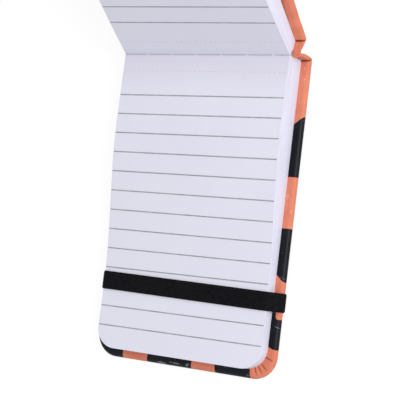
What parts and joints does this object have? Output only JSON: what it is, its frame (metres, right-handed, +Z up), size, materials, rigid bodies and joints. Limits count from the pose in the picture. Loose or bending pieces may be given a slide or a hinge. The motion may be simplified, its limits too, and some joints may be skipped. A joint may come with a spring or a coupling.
{
  "type": "pocket journal",
  "caption": "Small hardcover journal bound along its head edge, lying open on its back cover, with the front pages raised and an elastic round the back half.",
  "frame": {"origin": "centre of the flat underside of the back cover, taken from the gutter line to the foot edge", "axes": "+X across the page to the right, +Y from the foot edge towards the gutter, +Z up from the surface the journal lies on"},
  "size_m": [0.0762, 0.1919, 0.0956],
  "materials": {
    "coral_leatherette": "satin",
    "black_print": "satin",
    "grey_board": "matte",
    "endpaper": "matte",
    "page_paper": "matte",
    "ruling_ink": "matte",
    "black_elastic": "matte"
  },
  "bodies": {
    "back_half": {"back_cover_wrap": "coral_leatherette", "back_cover_print": "black_print", "back_cover_board": "grey_board", "back_endpaper": "endpaper", "back_pages": "page_paper", "back_page_ruling": "ruling_ink", "elastic_band": "black_elastic"},
    "front_half": {"front_pages": "page_paper", "front_page_ruling": "ruling_ink", "front_spine_wrap": "coral_leatherette"},
    "front_cover": {"front_cover_wrap": "coral_leatherette", "front_cover_print": "black_print", "front_cover_board": "grey_board", "front_endpaper": "endpaper"}
  },
  "joints": [
    {"name": "spine_fold", "type": "hinge", "parent": "back_half", "child": "front_half", "pos_m": [0, 0.056, 0.0123], "axis": [-1, 0, 0], "range_deg": [-122, 49]},
    {"name": "front_cover_hinge", "type": "hinge", "parent": "front_half", "child": "front_cover", "pos_m": [0, 0.06406, 0.00813], "axis": [-1, 0, 0], "range_deg": [0, 135]}
  ]
}
